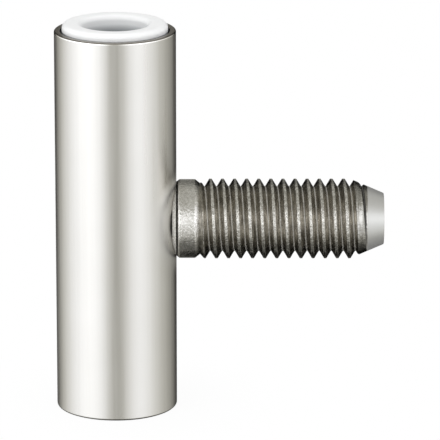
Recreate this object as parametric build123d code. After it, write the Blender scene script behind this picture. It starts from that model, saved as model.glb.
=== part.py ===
from build123d import *
import os
from math import ceil, radians, sqrt, tan

# Frame half of a turned barrel hinge, for a screw-in fixing in a door frame.
# Millimetres, +Z up. The origin is the centre of the barrel's bottom face and the stud points along +X.

# Barrel, turned from steel
barrel_diameter = 15.0
barrel_height = 48.0
bottom_edge = 0.3
rim_edge = 0.2
rim_wall = 0.75
recess_depth = 2.0

# Bush, moulded in white plastic, with a collar that the door half turns on
pin_bore_diameter = 8.2
pin_bore_depth = 36.0
sleeve_wall = 1.15
bush_floor = 1.6
bush_stand_out = 0.9
collar_clearance = 0.22
sleeve_clearance = 0.05
bush_end_clearance = 0.3
mouth_lead_in = 0.4
bush_edge_round = 0.6

# Stud, turned from steel and fixed in the barrel's wall
stud_height = 24.0
stud_reach = 25.7
spigot_diameter = 6.0
spigot_clearance = 0.03
seat_depth = 0.62
seat_diameter = 9.2
shoulder_diameter = 9.78
shoulder_length = 2.08
back_bevel_length = 0.3
neck_diameter = 8.8
neck_slope_length = 0.55
neck_rise_length = 0.5

# Thread, right hand
thread_diameter = 9.9
thread_pitch = 1.5
thread_depth = 0.95
thread_half_angle = 30.0
run_in_turns = 0.5
neck_to_thread = 0.22
tip_diameter = 6.34
tip_half_angle = 23.1

# How far a cutter runs past the surface that it cuts
overrun = 0.1
turns_per_cut = 3

barrel_radius = barrel_diameter / 2
pin_bore_radius = pin_bore_diameter / 2
sleeve_radius = pin_bore_radius + sleeve_wall
recess_radius = barrel_radius - rim_wall
bush_collar_radius = recess_radius - collar_clearance
barrel_bore_radius = sleeve_radius + sleeve_clearance

bush_top = barrel_height + bush_stand_out
bush_seat = barrel_height - recess_depth
pin_bore_floor = bush_top - pin_bore_depth
bush_bottom = pin_bore_floor - bush_floor
barrel_bore_floor = bush_bottom - bush_end_clearance

# Places along the stud, from the barrel's axis
seat_start = barrel_radius - seat_depth
shoulder_start = barrel_radius + back_bevel_length
shoulder_end = shoulder_start + shoulder_length
neck_start = shoulder_end + neck_slope_length
thread_rise_end = neck_start + neck_rise_length
thread_start = neck_start + neck_to_thread
stud_end = barrel_radius + stud_reach

spigot_radius = spigot_diameter / 2
seat_radius = seat_diameter / 2
shoulder_radius = shoulder_diameter / 2
thread_radius = thread_diameter / 2
tip_radius = tip_diameter / 2
tip_slope = tan(radians(tip_half_angle))
flank_slope = tan(radians(thread_half_angle))


def turned(points):
    """Solid of revolution about Z from points given as (radius, height)."""
    outline = Polyline([(radius, 0, height) for radius, height in points], close=True)
    return revolve(make_face(outline), Axis.Z)


def along_stud(solid):
    """Lay a solid that was made on Z along the stud's axis, with its own X to the back."""
    stud_plane = Plane(origin=(0, 0, stud_height), x_dir=(0, 1, 0), z_dir=(1, 0, 0))
    return stud_plane * solid


def seat_cutter():
    """Drilled hole for the spigot and the shallow cone that the stud's back face beds on."""
    hole_radius = spigot_radius + spigot_clearance
    drill = Cylinder(hole_radius, barrel_radius, align=(Align.CENTER, Align.CENTER, Align.MIN))
    cone = turned([(0, seat_start), (spigot_radius, seat_start), (seat_radius, barrel_radius), (0, barrel_radius)])
    return along_stud(drill + cone)


def make_barrel():
    body = turned(
        [
            (0, 0),
            (barrel_radius - bottom_edge, 0),
            (barrel_radius, bottom_edge),
            (barrel_radius, barrel_height - rim_edge),
            (barrel_radius - rim_edge, barrel_height),
            (recess_radius, barrel_height),
            (recess_radius, bush_seat),
            (barrel_bore_radius, bush_seat),
            (barrel_bore_radius, barrel_bore_floor),
            (0, barrel_bore_floor),
        ]
    )
    return body - seat_cutter()


def make_bush():
    """Bush whose collar has its outer edge eased in two steps that touch the round from inside."""
    mid_round = bush_edge_round * (1 - sqrt(0.5))
    return turned(
        [
            (0, bush_bottom),
            (sleeve_radius, bush_bottom),
            (sleeve_radius, bush_seat),
            (bush_collar_radius, bush_seat),
            (bush_collar_radius, bush_top - bush_edge_round),
            (bush_collar_radius - mid_round, bush_top - mid_round),
            (bush_collar_radius - bush_edge_round, bush_top),
            (pin_bore_radius + mouth_lead_in, bush_top),
            (pin_bore_radius, bush_top - mouth_lead_in),
            (pin_bore_radius, pin_bore_floor),
            (0, pin_bore_floor),
        ]
    )


def make_stud_blank():
    """The stud as turned, before its thread is cut."""
    cone_start = stud_end - (thread_radius - tip_radius) / tip_slope
    return turned(
        [
            (0, 0),
            (spigot_radius, 0),
            (spigot_radius, seat_start),
            (seat_radius, barrel_radius),
            (shoulder_radius, shoulder_start),
            (shoulder_radius, shoulder_end),
            (neck_diameter / 2, neck_start),
            (thread_radius, thread_rise_end),
            (thread_radius, cone_start),
            (tip_radius, stud_end),
            (0, stud_end),
        ]
    )


def groove_section(lift):
    """V section of the thread's groove on the XZ plane, moved outwards by lift."""
    half_outer = (thread_depth + overrun) * flank_slope
    inner = thread_radius - thread_depth + lift
    outer = thread_radius + overrun + lift
    corners = [(inner, 0), (outer, -half_outer), (outer, half_outer)]
    return make_face(Polyline([(radius, 0, height) for radius, height in corners], close=True))


def run_in_cutter():
    """The first part of the groove, which deepens from nothing to the full thread."""
    angle = -360 * run_in_turns
    rise = run_in_turns * thread_pitch
    low = thread_start - rise
    path = Rot(0, 0, angle) * Helix(thread_pitch, rise, thread_radius, center=(0, 0, low))
    shallow = Rot(0, 0, angle) * Pos(0, 0, low) * groove_section(thread_depth + overrun)
    full = Pos(0, 0, thread_start) * groove_section(0)
    return sweep([shallow, full], path=path, multisection=True, is_frenet=True)


def groove_cutter():
    """A few whole turns of the groove, from the height 0."""
    path = Helix(thread_pitch, turns_per_cut * thread_pitch, thread_radius)
    return sweep(groove_section(0), path=path, is_frenet=True)


def make_stud():
    """Stud with a helical groove that runs out on the cone, and a spigot trimmed to the barrel's bore."""
    stud = make_stud_blank() - run_in_cutter()
    step = turns_per_cut * thread_pitch
    root_on_cone = stud_end - (thread_radius - thread_depth - tip_radius) / tip_slope
    cuts = ceil((root_on_cone + thread_pitch / 2 - thread_start) / step)
    cutter = groove_cutter()
    for cut in range(cuts):
        stud = stud - Pos(0, 0, thread_start + cut * step) * cutter
    bore = Pos(0, 0, barrel_bore_floor) * Cylinder(
        barrel_bore_radius, barrel_height, align=(Align.CENTER, Align.CENTER, Align.MIN)
    )
    return along_stud(stud) - bore


parts = {
    "barrel": make_barrel(),
    "bearing_bush": make_bush(),
    "threaded_stud": make_stud(),
}
os.makedirs("parts", exist_ok=True)
for name, part in parts.items():
    export_step(part, "parts/" + name + ".step")
    print(name, round(part.volume, 2), "mm3,", len(part.solids()), "solid")
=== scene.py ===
import math

import bmesh
import bpy
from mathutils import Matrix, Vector


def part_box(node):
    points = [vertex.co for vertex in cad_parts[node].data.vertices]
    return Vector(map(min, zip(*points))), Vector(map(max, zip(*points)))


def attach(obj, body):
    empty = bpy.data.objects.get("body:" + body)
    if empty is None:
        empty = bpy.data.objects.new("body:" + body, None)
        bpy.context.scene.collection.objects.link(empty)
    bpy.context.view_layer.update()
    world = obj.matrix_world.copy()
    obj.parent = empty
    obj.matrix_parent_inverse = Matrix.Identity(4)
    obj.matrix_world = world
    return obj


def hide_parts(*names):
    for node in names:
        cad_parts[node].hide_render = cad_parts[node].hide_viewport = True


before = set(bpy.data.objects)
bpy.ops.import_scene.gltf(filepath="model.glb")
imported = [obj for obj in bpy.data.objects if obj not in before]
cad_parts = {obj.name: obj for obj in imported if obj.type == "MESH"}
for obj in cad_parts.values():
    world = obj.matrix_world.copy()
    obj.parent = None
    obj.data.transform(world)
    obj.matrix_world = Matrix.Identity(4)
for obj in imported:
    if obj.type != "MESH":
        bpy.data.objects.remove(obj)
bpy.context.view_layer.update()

# Where the pieces are, from the frame, in metres
barrel_low, barrel_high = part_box("barrel")
bush_low, bush_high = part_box("bearing_bush")
stud_low, stud_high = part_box("threaded_stud")
barrel_radius = barrel_high.x
barrel_top = barrel_high.z
bush_radius = bush_high.x
bush_top = bush_high.z
bush_bottom = bush_low.z
stud_end = stud_high.x
stud_height = (stud_low.z + stud_high.z) / 2
thread_radius = (stud_high.z - stud_low.z) / 2

# The barrel's own sizes
bottom_round = 0.0003
rim_round = 0.0002
rim_wall = 0.00075
rim_inner_edge = 0.00008
recess_depth = 0.002
barrel_bore_radius = 0.0053
barrel_bore_floor = 0.011
recess_radius = barrel_radius - rim_wall
bush_seat = barrel_top - recess_depth

# The bush's own sizes
pin_bore_radius = 0.0041
pin_bore_floor = 0.0129
sleeve_radius = 0.00525
mouth_round = 0.0006
bush_edge_round = 0.0006

# The stud's own sizes, its places given from the barrel's axis
spigot_radius = 0.003
spigot_clearance = 0.00003
seat_start = 0.00688
seat_radius = 0.0046
shoulder_radius = 0.00489
shoulder_start = 0.0078
shoulder_end = 0.00988
shoulder_edge = 0.00012
back_bevel_angle = 44
neck_slope_angle = 42
neck_radius = 0.0044
neck_start = 0.01043
thread_rise_end = 0.01093
tip_radius = 0.00317
tip_edge = 0.00006
cone_slope = math.tan(math.radians(23.1))
cone_start = stud_end - (thread_radius - tip_radius) / cone_slope
plain_end_start = 0.0311

# Its thread, right hand: a groove whose centre crosses the stud's back at thread_start
thread_pitch = 0.0015
thread_depth = 0.00095
thread_start = 0.01065
run_in_turns = 0.5
flank_slope = math.tan(math.radians(30))
root_round = 0.00007
crest_round = 0.00004

# Points round each piece, and the angle in degrees from which an edge stays sharp
barrel_columns = 256
bush_columns = 192
stud_columns = 128
turned_sharp_angle = 40
thread_sharp_angle = 33

# Camera: the photograph's place, looking slightly down at the stud's root
camera_target = Vector((0.0129, 0.0, 0.0238))
camera_elevation = math.radians(15.5)
camera_distance = 0.554
sensor_width = 0.036
image_side = 440
pixels_per_metre = 8055

# Levels of the light, where 1 is white
background_level = 1.0
soft_light_level = 1.0
overhead_level = 0.27
panel_strength = 3.5

# Mirrored light round the object: degrees from the camera, positive to its right, and level
panel_levels = [
    (-180, 0.08), (-170, 0.0), (-152, 0.0), (-138, 0.13), (-120, 0.28), (-100, 0.45), (-75, 0.585),
    (-45, 0.65), (-22, 0.50), (0, 0.165), (20, 0.38), (42, 0.56), (65, 0.48), (90, 0.32),
    (115, 0.21), (136, 0.12), (152, 0.0), (170, 0.0), (180, 0.08),
]

# How that light changes with height: degrees above the horizon, and share
height_levels = [
    (-90, 0.12), (-66, 0.06), (-50, 0.21), (-34, 0.46), (-22, 0.62), (-11, 0.64),
    (0, 0.96), (14, 1.0), (26, 0.76), (38, 0.46), (70, 0.44), (90, 0.42),
]


# Mesh building

def arc(centre_along, centre_radius, size, start, end, steps=6):
    """Points (along, radius) on a round edge. 0 degrees points outwards, 90 forwards along the axis."""
    points = []
    for step in range(steps + 1):
        angle = math.radians(start + (end - start) * step / steps)
        points.append((centre_along + size * math.sin(angle), centre_radius + size * math.cos(angle)))
    return points


def upright(along, radius, angle):
    """A point of the barrel or the bush, whose axis is Z."""
    return (radius * math.cos(angle), radius * math.sin(angle), along)


def sideways(along, radius, angle):
    """A point of the stud, whose axis is along X. The angle goes from the back over the top."""
    return (along, radius * math.cos(angle), stud_height + radius * math.sin(angle))


def column_angle(column, columns):
    return 2 * math.pi * column / columns


def turned_rings(profile, columns, place):
    """A ring of points for each (along, radius) of the profile."""
    rings = []
    for along, radius in profile:
        rings.append([place(along, radius, column_angle(column, columns)) for column in range(columns)])
    return rings


def skin(rings, shift=0):
    """Faces between rings. Past the last column a ring meets the one that is shift rings further."""
    faces = []
    columns = len(rings[0])
    for row in range(len(rings) - 1 - shift):
        for column in range(columns):
            across = (column + 1) % columns
            step = shift if across == 0 else 0
            corners = [(row, column), (row + step, across), (row + step + 1, across), (row + 1, column)]
            faces.append([corner_row * columns + corner_column for corner_row, corner_column in corners])
    return [point for ring in rings for point in ring], faces


def make_piece(name, skins):
    """One closed mesh from several skins that share their border rings."""
    build = bmesh.new()
    for points, faces in skins:
        corners = [build.verts.new(point) for point in points]
        for face in faces:
            build.faces.new([corners[index] for index in face])
    merge_distance = 2e-7
    bmesh.ops.remove_doubles(build, verts=build.verts, dist=merge_distance)
    bmesh.ops.recalc_face_normals(build, faces=build.faces)
    for face in build.faces:
        face.smooth = True
    mesh = bpy.data.meshes.new(name)
    build.to_mesh(mesh)
    build.free()
    piece = bpy.data.objects.new(name, mesh)
    bpy.context.scene.collection.objects.link(piece)
    return piece


def settle(piece, kind, settings):
    """Give the piece a modifier's result for good."""
    modifier = piece.modifiers.new("step", kind)
    for setting, value in settings.items():
        setattr(modifier, setting, value)
    graph = bpy.context.evaluated_depsgraph_get()
    mesh = bpy.data.meshes.new_from_object(piece.evaluated_get(graph))
    piece.modifiers.clear()
    piece.data = mesh


def smooth_flats(piece, sharp_angle):
    """Smooth shading in which the large faces set the normals, so the narrow rounds don't tilt them."""
    piece.data.set_sharp_from_angle(angle=math.radians(sharp_angle))
    settle(piece, "WEIGHTED_NORMAL", {"keep_sharp": True, "weight": 100})


def hand_over(piece, node, material):
    """The piece is shown in place of the CAD node, which is hidden; it hangs on the root body and gets the
    given finish.
    """
    piece.data.materials.append(material)
    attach(piece, "root")
    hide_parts(node)


# The pieces

def cut_seat(barrel):
    """Drill the barrel's wall for the stud's spigot and countersink it for the stud's back."""
    hole_radius = spigot_radius + spigot_clearance
    widening = (seat_radius - spigot_radius) / (barrel_radius - seat_start)
    past_wall = 0.0002
    mouth = barrel_radius + past_wall
    hole_end = seat_start + (hole_radius - spigot_radius) / widening
    profile = [(0, 0), (0, hole_radius), (hole_end, hole_radius)]
    profile += [(mouth, seat_radius + past_wall * widening), (mouth, 0)]
    cutter = make_piece("seat_cutter", [skin(turned_rings(profile, stud_columns, sideways))])
    settle(barrel, "BOOLEAN", {"object": cutter, "operation": "DIFFERENCE", "solver": "EXACT"})
    bpy.data.objects.remove(cutter)


def make_barrel():
    profile = [(0, 0)]
    profile += arc(bottom_round, barrel_radius - bottom_round, bottom_round, -90, 0)
    profile += arc(barrel_top - rim_round, barrel_radius - rim_round, rim_round, 0, 90)
    profile += [(barrel_top, recess_radius + rim_inner_edge), (barrel_top - rim_inner_edge, recess_radius)]
    profile += [(bush_seat, recess_radius), (bush_seat, barrel_bore_radius)]
    profile += [(barrel_bore_floor, barrel_bore_radius), (barrel_bore_floor, 0)]
    barrel = make_piece("turned_barrel", [skin(turned_rings(profile, barrel_columns, upright))])
    cut_seat(barrel)
    smooth_flats(barrel, turned_sharp_angle)
    return barrel


def make_bush():
    steps = 10
    profile = [(bush_bottom, 0), (bush_bottom, sleeve_radius)]
    profile += [(bush_seat, sleeve_radius), (bush_seat, bush_radius)]
    profile += arc(bush_top - bush_edge_round, bush_radius - bush_edge_round, bush_edge_round, 0, 90, steps)
    profile += arc(bush_top - mouth_round, pin_bore_radius + mouth_round, -mouth_round, -90, 0, steps)
    profile += [(pin_bore_floor, pin_bore_radius), (pin_bore_floor, 0)]
    bush = make_piece("moulded_bush", [skin(turned_rings(profile, bush_columns, upright))])
    smooth_flats(bush, turned_sharp_angle)
    return bush


def blank_radius(along):
    """Radius of the stud before its thread, from the neck to the tip."""
    rise = (along - neck_start) / (thread_rise_end - neck_start)
    neck = neck_radius + (thread_radius - neck_radius) * rise
    cone = tip_radius + (stud_end - along) * cone_slope
    return min(thread_radius, neck, cone)


def groove_radius(offset, missing_depth):
    """Radius at an offset along the stud from a groove's centre, with a rounded root and an eased crest."""
    root = thread_radius - thread_depth + missing_depth
    flank = root + (math.hypot(offset, root_round) - root_round) / flank_slope
    gap = flank - thread_radius
    return (flank + thread_radius - math.hypot(gap, crest_round)) / 2 + crest_round / 4


def threaded_radius(along, offset):
    """Radius with the groove, which deepens from nothing over the run-in."""
    run_in = run_in_turns * thread_pitch
    fade = (along - offset - thread_start + run_in) / run_in
    if fade < 0:
        return blank_radius(along)
    missing_depth = thread_depth * max(1 - fade, 0)
    return min(blank_radius(along), groove_radius(offset, missing_depth))


def thread_skin(columns):
    """Rows of points that climb with the helix, from the neck to the tip's edge."""
    # Places of a row's points from the groove's centre to the crest's centre, as shares of half a pitch
    half_stations = [0, 0.03, 0.06, 0.1, 0.16, 0.35, 0.6, 0.68, 0.73, 0.78, 0.84, 1]
    shares = [share / 2 for share in half_stations]
    shares += [1 - share / 2 for share in half_stations[-2:0:-1]]
    low = neck_start
    high = stud_end - tip_edge
    first_turn = -2
    last_turn = math.ceil((high - thread_start) / thread_pitch) + 1
    rings = []
    for turn in range(first_turn, last_turn):
        for share in shares:
            offset = (share if share <= 0.5 else share - 1) * thread_pitch
            ring = []
            for column in range(columns):
                along = thread_start + thread_pitch * (turn + share + column / columns)
                held = min(max(along, low), high)
                radius = threaded_radius(held, offset) if held == along else blank_radius(held)
                ring.append(sideways(held, radius, column_angle(column, columns)))
            rings.append(ring)
    return skin(rings, len(shares))


def spigot_end_rings(columns):
    """The spigot's end face, which follows the barrel's round bore."""
    rings = []
    for share in (0, 1 / 3, 2 / 3, 1):
        radius = spigot_radius * share
        ring = []
        for column in range(columns):
            angle = column_angle(column, columns)
            along = math.sqrt(barrel_bore_radius ** 2 - (radius * math.cos(angle)) ** 2)
            ring.append(sideways(along, radius, angle))
        rings.append(ring)
    return rings


def make_stud():
    steps = 4
    edge_centre = shoulder_radius - shoulder_edge
    profile = [(seat_start, spigot_radius), (barrel_radius, seat_radius)]
    profile += arc(shoulder_start + shoulder_edge, edge_centre, shoulder_edge, -back_bevel_angle, 0, steps)
    profile += arc(shoulder_end - shoulder_edge, edge_centre, shoulder_edge, 0, neck_slope_angle, steps)
    profile += [(neck_start, neck_radius)]
    root = spigot_end_rings(stud_columns) + turned_rings(profile, stud_columns, sideways)
    edge_start = stud_end - tip_edge
    tip_profile = [(edge_start, blank_radius(edge_start)), (stud_end, tip_radius - tip_edge), (stud_end, 0)]
    tip = turned_rings(tip_profile, stud_columns, sideways)
    stud = make_piece("turned_stud", [skin(root), thread_skin(stud_columns), skin(tip)])
    smooth_flats(stud, thread_sharp_angle)
    return stud


# Shader building

def new_material(name):
    material = bpy.data.materials.new(name)
    material.use_nodes = True
    nodes = material.node_tree.nodes
    return material, material.node_tree, nodes["Principled BSDF"]


def maths(tree, operation, first, second=None):
    """A Math node. Each input is a number or another node's output."""
    node = tree.nodes.new("ShaderNodeMath")
    node.operation = operation
    for index, value in enumerate((first, second)):
        if value is None:
            continue
        if isinstance(value, (int, float)):
            node.inputs[index].default_value = value
        else:
            tree.links.new(value, node.inputs[index])
    return node.outputs[0]


def curve(tree, degrees, full_turn, points):
    """A smooth curve through (degrees, level) points, as a grey ramp over a full turn or a half turn."""
    ramp = tree.nodes.new("ShaderNodeValToRGB")
    ramp.color_ramp.interpolation = "CARDINAL"
    stops = ramp.color_ramp.elements
    while len(stops) < len(points):
        stops.new(0.5)
    for stop, (place, level) in zip(stops, points):
        stop.position = place / full_turn + 0.5
        stop.color = (level, level, level, 1)
    tree.links.new(maths(tree, "ADD", maths(tree, "DIVIDE", degrees, full_turn), 0.5), ramp.inputs[0])
    return ramp.outputs[0]


def map_range(tree, value, low, high, out_low=0.0, out_high=1.0, kind="LINEAR"):
    """The value stretched from low..high to out_low..out_high, and held there. High may be below low."""
    node = tree.nodes.new("ShaderNodeMapRange")
    node.interpolation_type = kind
    node.inputs["From Min"].default_value = low
    node.inputs["From Max"].default_value = high
    node.inputs["To Min"].default_value = out_low
    node.inputs["To Max"].default_value = out_high
    tree.links.new(value, node.inputs["Value"])
    return node.outputs["Result"]


def band(tree, value, low, high, edge):
    """1 between low and high, fading to 0 over the edge on either side."""
    rising = map_range(tree, value, low - edge, low)
    falling = map_range(tree, value, high + edge, high)
    return maths(tree, "MULTIPLY", rising, falling)


def place_on_object(tree):
    return tree.nodes.new("ShaderNodeTexCoord").outputs["Object"]


def coordinates(tree, vector):
    split = tree.nodes.new("ShaderNodeSeparateXYZ")
    tree.links.new(vector, split.inputs[0])
    return split.outputs[0], split.outputs[1], split.outputs[2]


def distance_from_axis(tree, first, second):
    """How far a point is from an axis, from its two coordinates across that axis."""
    squares = [maths(tree, "POWER", value, 2.0) for value in (first, second)]
    return maths(tree, "SQRT", maths(tree, "ADD", squares[0], squares[1]))


def scaled(tree, vector, scale):
    node = tree.nodes.new("ShaderNodeVectorMath")
    node.operation = "MULTIPLY"
    tree.links.new(vector, node.inputs[0])
    node.inputs[1].default_value = scale
    return node.outputs[0]


def noise(tree, vector, scale, detail=2.0, roughness=0.5):
    node = tree.nodes.new("ShaderNodeTexNoise")
    node.inputs["Scale"].default_value = scale
    node.inputs["Detail"].default_value = detail
    node.inputs["Roughness"].default_value = roughness
    tree.links.new(vector, node.inputs["Vector"])
    return node.outputs["Fac"]


def blend_number(tree, amount, first, second):
    """A mix of two numbers. The second is a plain one or another node's output."""
    kept = maths(tree, "MULTIPLY", first, maths(tree, "SUBTRACT", 1.0, amount))
    return maths(tree, "ADD", kept, maths(tree, "MULTIPLY", amount, second))


def blend_colour(tree, amount, first, second):
    """A mix of two colours. Each is a tuple or another node's output."""
    node = tree.nodes.new("ShaderNodeMix")
    node.data_type = "RGBA"
    colours = [socket for socket in node.inputs if socket.type == "RGBA"]
    for socket, value in zip(colours, (first, second)):
        if isinstance(value, tuple):
            socket.default_value = value
        else:
            tree.links.new(value, socket)
    tree.links.new(amount, node.inputs["Factor"])
    return [socket for socket in node.outputs if socket.type == "RGBA"][0]


def bump(tree, shader, height, strength, distance, chained=None):
    node = tree.nodes.new("ShaderNodeBump")
    node.inputs["Strength"].default_value = strength
    node.inputs["Distance"].default_value = distance
    tree.links.new(height, node.inputs["Height"])
    if chained is not None:
        tree.links.new(chained, node.inputs["Normal"])
    tree.links.new(node.outputs["Normal"], shader.inputs["Normal"])
    return node.outputs["Normal"]


# The studio

def mirrored_light(tree):
    """What the metal mirrors: soft panels either side of the camera, with a dark gap behind on each side."""
    x, y, z = coordinates(tree, tree.nodes.new("ShaderNodeTexCoord").outputs["Generated"])
    azimuth = maths(tree, "DEGREES", maths(tree, "ARCTAN2", x, maths(tree, "MULTIPLY", y, -1.0)))
    elevation = maths(tree, "DEGREES", maths(tree, "ARCSINE", z))
    panels = curve(tree, azimuth, 360, panel_levels)
    overhead_start, overhead_full = 25, 65
    overhead = map_range(tree, elevation, overhead_start, overhead_full)
    around = blend_number(tree, overhead, panels, overhead_level)
    height_share = curve(tree, elevation, 180, height_levels)
    return maths(tree, "MULTIPLY", maths(tree, "MULTIPLY", around, height_share), panel_strength)


def studio_world():
    """White behind the object, soft light all round it, and panels that only mirroring surfaces see."""
    world = bpy.data.worlds.new("studio")
    bpy.context.scene.world = world
    world.use_nodes = True
    tree = world.node_tree
    tree.nodes.clear()
    output = tree.nodes.new("ShaderNodeOutputWorld")
    glossy = mirrored_light(tree)
    warm, cool = (1.0, 0.985, 0.90, 1), (0.98, 0.99, 1.02, 1)
    warm_level, cool_level = 0.5, 1.2
    tint = blend_colour(tree, map_range(tree, glossy, warm_level, cool_level), warm, cool)
    path = tree.nodes.new("ShaderNodeLightPath")
    mirrored = path.outputs["Is Glossy Ray"]
    straight = maths(tree, "MAXIMUM", path.outputs["Is Camera Ray"], path.outputs["Is Transmission Ray"])
    scattered = maths(tree, "SUBTRACT", 1.0, maths(tree, "MAXIMUM", straight, mirrored))
    seen_level = maths(tree, "MULTIPLY", straight, background_level)
    mirrored_level = maths(tree, "MULTIPLY", mirrored, glossy)
    scattered_level = maths(tree, "MULTIPLY", scattered, soft_light_level)
    light = tree.nodes.new("ShaderNodeBackground")
    total = maths(tree, "ADD", maths(tree, "ADD", seen_level, mirrored_level), scattered_level)
    tree.links.new(total, light.inputs["Strength"])
    tree.links.new(blend_colour(tree, mirrored, (1, 1, 1, 1), tint), light.inputs["Color"])
    tree.links.new(light.outputs[0], output.inputs[0])


def make_floor():
    """A pale floor that fades to the white background away from the object, and keeps its shadow."""
    half = 3.0
    corners = [(-half, -half, 0), (half, -half, 0), (half, half, 0), (-half, half, 0)]
    mesh = bpy.data.meshes.new("floor")
    mesh.from_pydata(corners, [], [(0, 1, 2, 3)])
    floor = bpy.data.objects.new("floor", mesh)
    bpy.context.scene.collection.objects.link(floor)
    material = bpy.data.materials.new("floor_white")
    material.use_nodes = True
    tree = material.node_tree
    tree.nodes.clear()
    output = tree.nodes.new("ShaderNodeOutputMaterial")
    paint = tree.nodes.new("ShaderNodeBsdfDiffuse")
    paint.inputs["Color"].default_value = (0.95, 0.95, 0.95, 1)
    glow = tree.nodes.new("ShaderNodeEmission")
    mix = tree.nodes.new("ShaderNodeMixShader")
    distance = tree.nodes.new("ShaderNodeVectorMath")
    distance.operation = "LENGTH"
    tree.links.new(tree.nodes.new("ShaderNodeNewGeometry").outputs["Position"], distance.inputs[0])
    fade_start, fade_end, least_glow = 0.008, 0.024, 0.93
    fade = map_range(tree, distance.outputs["Value"], fade_start, fade_end, least_glow, 1.0, "SMOOTHSTEP")
    seen = tree.nodes.new("ShaderNodeLightPath").outputs["Is Camera Ray"]
    tree.links.new(maths(tree, "MULTIPLY", fade, seen), mix.inputs[0])
    tree.links.new(paint.outputs[0], mix.inputs[1])
    tree.links.new(glow.outputs[0], mix.inputs[2])
    tree.links.new(mix.outputs[0], output.inputs[0])
    mesh.materials.append(material)
    floor.visible_glossy = False


def make_lamp():
    """One large soft lamp above the camera's left shoulder, for the white bush and a soft shadow."""
    lamp = bpy.data.lights.new("key", "AREA")
    lamp.shape = "DISK"
    lamp.size = 0.5
    lamp.energy = 1.15
    key = bpy.data.objects.new("key", lamp)
    key.location = (-0.35, -0.45, 0.6)
    key.rotation_mode = "QUATERNION"
    key.rotation_quaternion = (Vector((0, 0, stud_height)) - key.location).to_track_quat("-Z", "Y")
    key.visible_glossy = False
    bpy.context.scene.collection.objects.link(key)


def make_camera():
    camera = bpy.data.cameras.new("camera")
    camera.sensor_width = sensor_width * 1000
    camera.lens = camera_distance * pixels_per_metre / image_side * camera.sensor_width
    camera.clip_start = 0.01
    camera.clip_end = 10
    holder = bpy.data.objects.new("camera", camera)
    back = Vector((0, -math.cos(camera_elevation), math.sin(camera_elevation)))
    holder.location = camera_target + back * camera_distance
    holder.rotation_mode = "QUATERNION"
    holder.rotation_quaternion = (-back).to_track_quat("-Z", "Y")
    bpy.context.scene.collection.objects.link(holder)
    bpy.context.scene.camera = holder


# Finishes

def nickel_colour(tree, place, streaks, polished_rim_highlight):
    """Plate with fine random shades, a painted highlight line under the rim, and painted shade on the rim
    face, in the recess and at the bottom edge.
    """
    plate_dark, plate_pale = (0.665, 0.65, 0.61, 1), (0.785, 0.775, 0.745, 1)
    painted_rim_highlight = (0.98, 0.97, 0.94, 1)
    painted_rim_face_shade = (0.36, 0.335, 0.30, 1)
    painted_recess_shade = (0.10, 0.095, 0.085, 1)
    painted_foot_shade = (0.12, 0.11, 0.10, 1)
    x, y, height = coordinates(tree, place)
    clouds = noise(tree, place, 140)
    shade = maths(tree, "ADD", maths(tree, "MULTIPLY", streaks, 0.6), maths(tree, "MULTIPLY", clouds, 0.4))
    # Painted shade: the rim's top face is coloured dark grey-brown, as a painted dark reflection.
    shaded_rim_face = map_range(tree, height, barrel_top - 0.0001, barrel_top - 0.00005)
    radius = distance_from_axis(tree, x, y)
    # Painted shade: the barrel's recess round the bush is coloured near black.
    inside = map_range(tree, radius, recess_radius + 0.00004, recess_radius + 0.00001)
    # Painted shade: the lowest round of the barrel is coloured dark.
    foot = map_range(tree, height, bottom_round, 0.0)
    colour = blend_colour(tree, shade, plate_dark, plate_pale)
    # Painted highlight: a bright line just under the rim.
    colour = blend_colour(tree, polished_rim_highlight, colour, painted_rim_highlight)
    colour = blend_colour(tree, shaded_rim_face, colour, painted_rim_face_shade)
    colour = blend_colour(tree, inside, colour, painted_recess_shade)
    return blend_colour(tree, foot, colour, painted_foot_shade)


def satin_nickel():
    """Nickel plate with fine marks along the barrel, polished and given a painted highlight on the rim's
    line, and duller round the stud.
    """
    material, tree, shader = new_material("satin_nickel")
    place = place_on_object(tree)
    x, y, height = coordinates(tree, place)
    streaks = noise(tree, scaled(tree, place, (1.0, 1.0, 0.02)), 1800, 3, 0.6)
    # The rim's line: polished, and with a painted highlight in the colour.
    polished_rim_highlight = band(tree, height, barrel_top - 0.0002, barrel_top - 0.0001, 0.00006)
    tree.links.new(nickel_colour(tree, place, streaks, polished_rim_highlight), shader.inputs["Base Color"])
    shader.inputs["Metallic"].default_value = 1.0
    smoothest, roughest, polished, dulled = 0.27, 0.34, 0.12, 0.48
    dull_end, dull_full = 0.0072, 0.0048
    from_stud = distance_from_axis(tree, maths(tree, "SUBTRACT", height, stud_height), y)
    near_stud = map_range(tree, from_stud, dull_end, dull_full, kind="SMOOTHSTEP")
    stud_side = map_range(tree, x, 0.0, 0.001)
    roughness = map_range(tree, streaks, 0.3, 0.7, smoothest, roughest)
    roughness = blend_number(tree, maths(tree, "MULTIPLY", near_stud, stud_side), roughness, dulled)
    tree.links.new(blend_number(tree, polished_rim_highlight, roughness, polished), shader.inputs["Roughness"])
    bump(tree, shader, streaks, 0.09, 0.00002)
    return material


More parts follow.
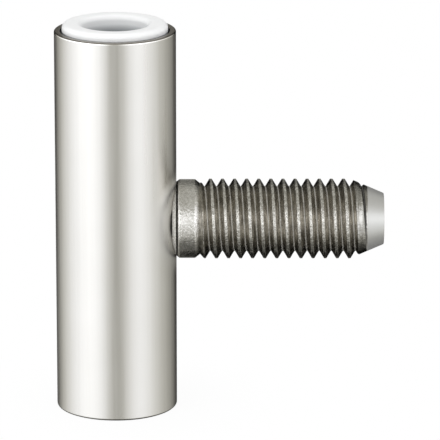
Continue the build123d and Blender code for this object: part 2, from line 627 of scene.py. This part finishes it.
def stud_zones(tree, place):
    """Masks for parts of the stud: thread crest, a painted highlight line along the thread's root, collar,
    lead-in, plain end, and painted shadow in the gaps.
    """
    along, across, height = coordinates(tree, place)
    radius = distance_from_axis(tree, across, maths(tree, "SUBTRACT", height, stud_height))
    to_end = maths(tree, "SUBTRACT", stud_end, along)
    cone = maths(tree, "ADD", maths(tree, "MULTIPLY", to_end, cone_slope), tip_radius)
    below_blank = maths(tree, "SUBTRACT", maths(tree, "MINIMUM", cone, thread_radius), radius)
    crest = map_range(tree, below_blank, 0.00018, 0.00007)
    root_radius = thread_radius - thread_depth
    # Painted highlight: a pale thin line along the thread's root.
    root = map_range(tree, radius, root_radius + 0.00007, root_radius + 0.00003)
    collar = map_range(tree, along, neck_start + 0.0003, shoulder_end)
    lead_in = map_range(tree, along, cone_start, cone_start + 0.0006)
    end = map_range(tree, along, plain_end_start, plain_end_start + 0.0001)
    # Painted shadow: near-black lines behind the collar, at the barrel's wall and in the last groove on the
    # cone.
    joint_shadow = band(tree, along, 0.00747, 0.00772, 0.00004)
    wall_shadow_line = map_range(tree, along, 0.00702, 0.00696)
    sunk = map_range(tree, below_blank, 0.00004, 0.00012, 0.0, 0.8)
    on_cone = band(tree, along, cone_start + 0.0011, plain_end_start - 0.0001, 0.0002)
    last_groove_shade = maths(tree, "MULTIPLY", sunk, on_cone)
    gap = maths(tree, "MAXIMUM", maths(tree, "MAXIMUM", joint_shadow, wall_shadow_line), last_groove_shade)
    return crest, root, collar, lead_in, end, gap


def stud_colour(tree, zones, speckle, rings):
    """Speckled and pale where the stud is bare, with a painted highlight along the thread's root; ringed and
    with painted shade in the grooves; near-black painted shadow in the gaps.
    """
    worn_dark, worn_pale = (0.52, 0.505, 0.47, 1), (1.0, 0.99, 0.95, 1)
    collar_dark, collar_pale = (0.74, 0.725, 0.69, 1), (0.97, 0.96, 0.93, 1)
    scuffed_dark, scuffed_pale = (0.34, 0.33, 0.30, 1), (0.60, 0.59, 0.56, 1)
    groove_shade_dark, groove_shade_pale = (0.22, 0.205, 0.175, 1), (0.62, 0.59, 0.53, 1)
    end_grey = (0.68, 0.68, 0.66, 1)
    painted_gap_shadow = (0.03, 0.028, 0.025, 1)
    crest, root, collar, lead_in, end, gap = zones
    bare = blend_colour(tree, speckle, worn_dark, worn_pale)
    bare = blend_colour(tree, collar, bare, blend_colour(tree, speckle, collar_dark, collar_pale))
    bare = blend_colour(tree, lead_in, bare, blend_colour(tree, rings, scuffed_dark, scuffed_pale))
    bare = blend_colour(tree, end, bare, end_grey)
    bare_or_root_highlight = maths(tree, "MAXIMUM", maths(tree, "MAXIMUM", crest, root), maths(tree, "MAXIMUM", collar, end))
    # Painted shade: the thread's flanks and grooves are coloured darker than the bare crests.
    steel = blend_colour(tree, bare_or_root_highlight, blend_colour(tree, rings, groove_shade_dark, groove_shade_pale), bare)
    return blend_colour(tree, gap, steel, painted_gap_shadow)


def stud_steel():
    """Plated steel, speckled where it is worn or turned, with fine rings and a duller plain end."""
    material, tree, shader = new_material("stud_steel")
    place = place_on_object(tree)
    zones = stud_zones(tree, place)
    crest, root, collar, lead_in, end, gap = zones
    groove_share = 0.25
    handled = map_range(tree, maths(tree, "MAXIMUM", crest, collar), 0.0, 1.0, groove_share, 1.0)
    marked = maths(tree, "MULTIPLY", handled, maths(tree, "SUBTRACT", 1.0, end))
    grain = map_range(tree, noise(tree, place, 3200, 2, 0.6), 0.34, 0.66)
    speckle = maths(tree, "MULTIPLY", grain, marked)
    rings = map_range(tree, noise(tree, scaled(tree, place, (4.5, 0.3, 0.3)), 1500, 3, 0.6), 0.38, 0.62)
    tree.links.new(stud_colour(tree, zones, speckle, rings), shader.inputs["Base Color"])

    # The root's painted highlight line is also less metallic.
    root_metal, end_metal = 0.4, 0.72
    along = coordinates(tree, place)[0]
    metal = map_range(tree, along, 0.00746, 0.00752, 0.5, 1.0)
    metal = blend_number(tree, root, metal, root_metal)
    tree.links.new(blend_number(tree, end, metal, end_metal), shader.inputs["Metallic"])
    smoothest, roughest, end_roughness = 0.22, 0.30, 0.5
    worked = map_range(tree, noise(tree, place, 900, 3, 0.6), 0.3, 0.7, smoothest, roughest)
    tree.links.new(blend_number(tree, end, worked, end_roughness), shader.inputs["Roughness"])

    shader.inputs["Anisotropic"].default_value = 0.75
    shader.inputs["Anisotropic Rotation"].default_value = 0.25
    tangent = tree.nodes.new("ShaderNodeTangent")
    tangent.direction_type = "RADIAL"
    tangent.axis = "X"
    tree.links.new(tangent.outputs[0], shader.inputs["Tangent"])
    dents = maths(tree, "MULTIPLY", noise(tree, place, 2000), marked)
    dented = bump(tree, shader, dents, 0.4, 0.00006)
    bump(tree, shader, speckle, 0.7, 0.00003, dented)
    return material


def white_plastic():
    """White moulded plastic, with painted shade down in the bore and in the gap to the barrel."""
    shade_dark, shade_pale = (0.895, 0.905, 0.91, 1), (0.93, 0.94, 0.945, 1)
    shadow_grey = (0.26, 0.28, 0.295, 1)
    material, tree, shader = new_material("white_plastic")
    place = place_on_object(tree)
    x, y, height = coordinates(tree, place)
    in_bore = map_range(tree, distance_from_axis(tree, x, y), pin_bore_radius + 0.0003, pin_bore_radius)
    deep = map_range(tree, height, bush_top - 0.0011, bush_top - 0.0022)
    below_rim = map_range(tree, height, barrel_top + 0.00005, barrel_top - 0.0001)
    # Painted shade: grey deep in the bore and where the bush sits below the barrel's rim.
    shadow = blend_number(tree, in_bore, below_rim, deep)
    mottle = noise(tree, place, 900)
    clean = blend_colour(tree, mottle, shade_dark, shade_pale)
    tree.links.new(blend_colour(tree, shadow, clean, shadow_grey), shader.inputs["Base Color"])
    shader.inputs["Roughness"].default_value = 0.35
    shader.inputs["Subsurface Weight"].default_value = 0.5
    shader.inputs["Subsurface Radius"].default_value = (1.0, 1.0, 1.0)
    shader.inputs["Subsurface Scale"].default_value = 0.0012
    bump(tree, shader, mottle, 0.03, 0.00003)
    return material


bpy.context.scene.view_settings.view_transform = "Standard"
make_camera()
studio_world()
make_floor()
make_lamp()
hand_over(make_barrel(), "barrel", satin_nickel())
hand_over(make_bush(), "bearing_bush", white_plastic())
hand_over(make_stud(), "threaded_stud", stud_steel())
